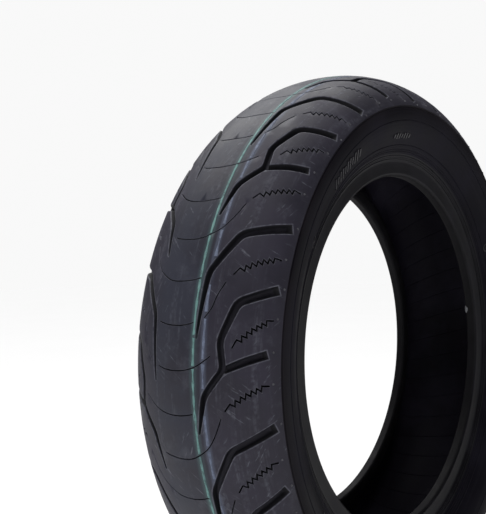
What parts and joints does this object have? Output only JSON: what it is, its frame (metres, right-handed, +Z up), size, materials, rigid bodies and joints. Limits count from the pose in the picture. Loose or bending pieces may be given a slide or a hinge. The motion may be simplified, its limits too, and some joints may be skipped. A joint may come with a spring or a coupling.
{
  "type": "motorcycle tyre",
  "caption": "Tubeless scooter and motorcycle tyre for a small wheel, bias-ply, with curved branching tread grooves and painted marking lines.",
  "frame": {"origin": "centre of the tyre, on the axle line, midway between the beads", "axes": "+Y along the axle towards the left side, +Z up, +X forward; the right side faces -Y"},
  "size_m": [0.4869, 0.1318, 0.487],
  "materials": {
    "tread_rubber": "satin moulded rubber, dark slate",
    "base_rubber": "matt",
    "breaker_fabric": "rubbered nylon cord",
    "ply_fabric": "rubbered nylon cord",
    "liner_rubber": "matt, ribbed by the curing bladder",
    "sidewall_rubber": "satin moulded rubber, near black",
    "rim_strip_rubber": "smooth moulded rubber",
    "chafer_rubber": "rubber over fine woven fabric",
    "filler_rubber": "hard matt rubber",
    "bead_steel": "bronze-coated drawn wire",
    "green_paint": "thin marking paint, worn",
    "violet_paint": "thin marking paint, worn",
    "light_paint": "marking paint"
  },
  "bodies": {
    "root": {"tread_cap": "tread_rubber", "tread_base": "base_rubber", "breaker_outer": "breaker_fabric", "breaker_inner": "breaker_fabric", "carcass_ply_outer": "ply_fabric", "carcass_ply_inner": "ply_fabric", "inner_liner": "liner_rubber", "sidewall_left": "sidewall_rubber", "sidewall_right": "sidewall_rubber", "shoulder_cushion_left": "base_rubber", "shoulder_cushion_right": "base_rubber", "rim_strip_left": "rim_strip_rubber", "rim_strip_right": "rim_strip_rubber", "chafer_left": "chafer_rubber", "chafer_right": "chafer_rubber", "bead_filler_left": "filler_rubber", "bead_filler_right": "filler_rubber", "bead_wrap_left": "ply_fabric", "bead_wrap_right": "ply_fabric", "bead_wires_left": "bead_steel", "bead_wires_right": "bead_steel", "green_line": "green_paint", "violet_line": "violet_paint", "bead_mark": "light_paint"}
  },
  "joints": []
}
